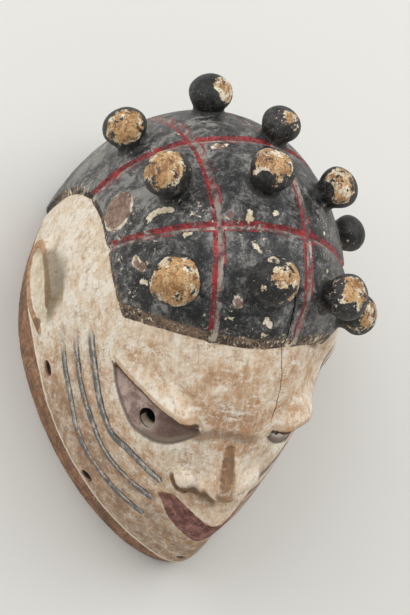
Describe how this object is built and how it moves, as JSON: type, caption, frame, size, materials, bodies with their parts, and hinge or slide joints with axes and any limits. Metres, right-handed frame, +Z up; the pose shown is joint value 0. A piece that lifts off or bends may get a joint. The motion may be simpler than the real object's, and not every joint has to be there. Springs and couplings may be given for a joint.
{
  "type": "carved crest mask",
  "caption": "Hollow carved wooden crest mask: an egg-shaped face under a raised hair cap with round tufts and painted partings, open underneath, with pierced pupils and lashing holes.",
  "frame": {"origin": "on the plane of the rim, under the middle of the outer box", "axes": "+Z up from the open rim to the crown, -Y toward the chin, +Y toward the nape, +X to the mask's own left"},
  "size_m": [0.2094, 0.3001, 0.2384],
  "materials": {
    "carved_wood": "carved wood under worn matt paint: black cap, red partings, chalky white face, bare brown wood at rim, nose and tuft tops"
  },
  "bodies": {
    "root": {"carved_mask": "carved_wood"}
  },
  "joints": []
}
